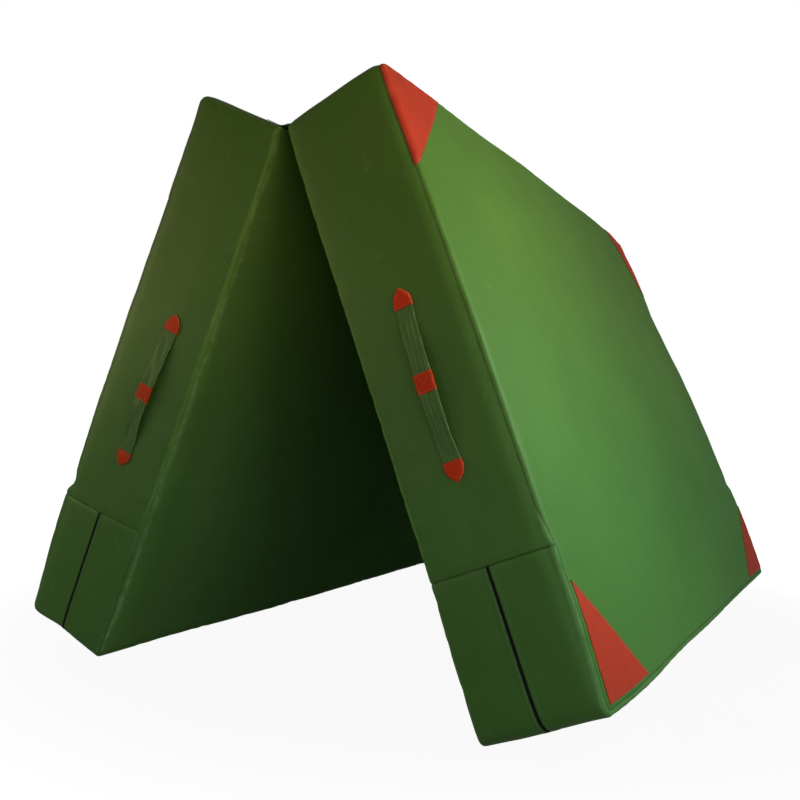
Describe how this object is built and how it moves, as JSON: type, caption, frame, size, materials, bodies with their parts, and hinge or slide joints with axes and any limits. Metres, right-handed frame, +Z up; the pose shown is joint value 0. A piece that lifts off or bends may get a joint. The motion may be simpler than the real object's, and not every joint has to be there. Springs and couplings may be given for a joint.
{
  "type": "folding gymnastics mat",
  "caption": "Two-panel folding foam mat standing as a tent: green coated-fabric covers with red corners, zipped free ends, strap handles and a fabric hinge.",
  "frame": {"origin": "On the floor under the middle of the fold, with the mat standing as a tent: the middle of the bounding box's bottom.", "axes": "+Z up; +Y along the fold, away from the viewer of the picture, towards the zip sliders; +X to the viewer's right, so the right panel is on the +X side."},
  "size_m": [1.1164, 1.4296, 0.99],
  "materials": {
    "green_cover": "PVC-coated polyester fabric, satin, faint leather grain",
    "red_trim": "PVC-coated polyester fabric, satin",
    "webbing": "folded coated fabric strap with stitch rows",
    "foam": "open-cell polyurethane foam",
    "zip_tape": "woven nylon tape",
    "zip_coil": "nylon coil",
    "zip_metal": "die-cast zinc, satin"
  },
  "bodies": {
    "left_panel": {"left_foam_core": "foam", "left_outer_sheet": "green_cover", "left_inner_sheet": "green_cover", "left_boxing_band": "green_cover", "left_zip_strip_inner": "green_cover", "left_zip_strip_outer": "green_cover", "left_zip_tape_inner": "zip_tape", "left_zip_tape_outer": "zip_tape", "left_zip_coil_inner": "zip_coil", "left_zip_coil_outer": "zip_coil", "left_corner_patch_near_top": "red_trim", "left_corner_patch_near_bottom": "red_trim", "left_near_handle_strap": "webbing", "left_near_handle_upper_patch": "red_trim", "left_near_handle_lower_patch": "red_trim", "left_near_handle_grip": "red_trim", "left_corner_patch_far_top": "red_trim", "left_corner_patch_far_bottom": "red_trim", "left_far_handle_strap": "webbing", "left_far_handle_upper_patch": "red_trim", "left_far_handle_lower_patch": "red_trim", "left_far_handle_grip": "red_trim", "fold_hinge_strip": "green_cover"},
    "left_slider": {"left_zip_slider": "zip_metal"},
    "left_pull": {"left_zip_pull": "zip_metal"},
    "right_panel": {"right_foam_core": "foam", "right_outer_sheet": "green_cover", "right_inner_sheet": "green_cover", "right_boxing_band": "green_cover", "right_zip_strip_inner": "green_cover", "right_zip_strip_outer": "green_cover", "right_zip_tape_inner": "zip_tape", "right_zip_tape_outer": "zip_tape", "right_zip_coil_inner": "zip_coil", "right_zip_coil_outer": "zip_coil", "right_corner_patch_near_top": "red_trim", "right_corner_patch_near_bottom": "red_trim", "right_near_handle_strap": "webbing", "right_near_handle_upper_patch": "red_trim", "right_near_handle_lower_patch": "red_trim", "right_near_handle_grip": "red_trim", "right_corner_patch_far_top": "red_trim", "right_corner_patch_far_bottom": "red_trim", "right_far_handle_strap": "webbing", "right_far_handle_upper_patch": "red_trim", "right_far_handle_lower_patch": "red_trim", "right_far_handle_grip": "red_trim"},
    "right_slider": {"right_zip_slider": "zip_metal"},
    "right_pull": {"right_zip_pull": "zip_metal"}
  },
  "joints": [
    {"name": "panel_fold", "type": "hinge", "parent": "left_panel", "child": "right_panel", "pos_m": [0, 0, 0.92482], "axis": [0, -1, 0], "range_deg": [-44.5, 135.5], "deforming": ["fold_hinge_strip"]},
    {"name": "left_zip_travel", "type": "slide", "parent": "left_panel", "child": "left_slider", "axis": [-0.3786, 0, -0.9255], "range_m": [0, 0.18]},
    {"name": "left_pull_swing", "type": "hinge", "parent": "left_slider", "child": "left_pull", "pos_m": [-0.39045, 0.70645, 0.23586], "axis": [0.9255, 0, -0.3786], "range_deg": [0, 170]},
    {"name": "right_zip_travel", "type": "slide", "parent": "right_panel", "child": "right_slider", "axis": [0.3786, 0, -0.9255], "range_m": [0, 0.18]},
    {"name": "right_pull_swing", "type": "hinge", "parent": "right_slider", "child": "right_pull", "pos_m": [0.39045, 0.70645, 0.23586], "axis": [0.9255, 0, 0.3786], "range_deg": [0, 170]}
  ]
}
